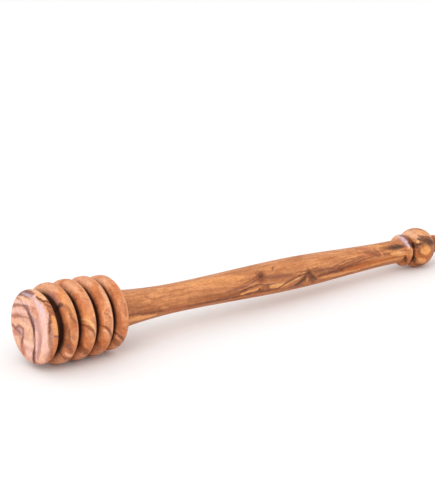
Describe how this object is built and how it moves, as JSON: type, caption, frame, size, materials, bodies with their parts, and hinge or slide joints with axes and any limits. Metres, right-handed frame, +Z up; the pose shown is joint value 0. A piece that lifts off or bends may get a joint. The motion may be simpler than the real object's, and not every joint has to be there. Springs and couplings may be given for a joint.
{
  "type": "honey dipper",
  "caption": "Turned olive wood honey dipper: a grooved barrel head on a slim, gently swelling handle that ends in a bead, a ball and a small button.",
  "frame": {"origin": "on the table, below the middle of the dipper's box as it lies at rest", "axes": "+X from the head towards the ball end, +Z up, +Y across; the turning axis dips 2.5 degrees towards the ball"},
  "size_m": [0.1772, 0.027, 0.0274],
  "materials": {
    "head_wood": "oiled olive wood, satin, pinkish orange with purple-brown streaks",
    "handle_wood": "oiled olive wood, satin, duller brown, with fine grain, small knots and dark streaks"
  },
  "bodies": {
    "root": {"dipper_head": "head_wood", "handle": "handle_wood"}
  },
  "joints": []
}
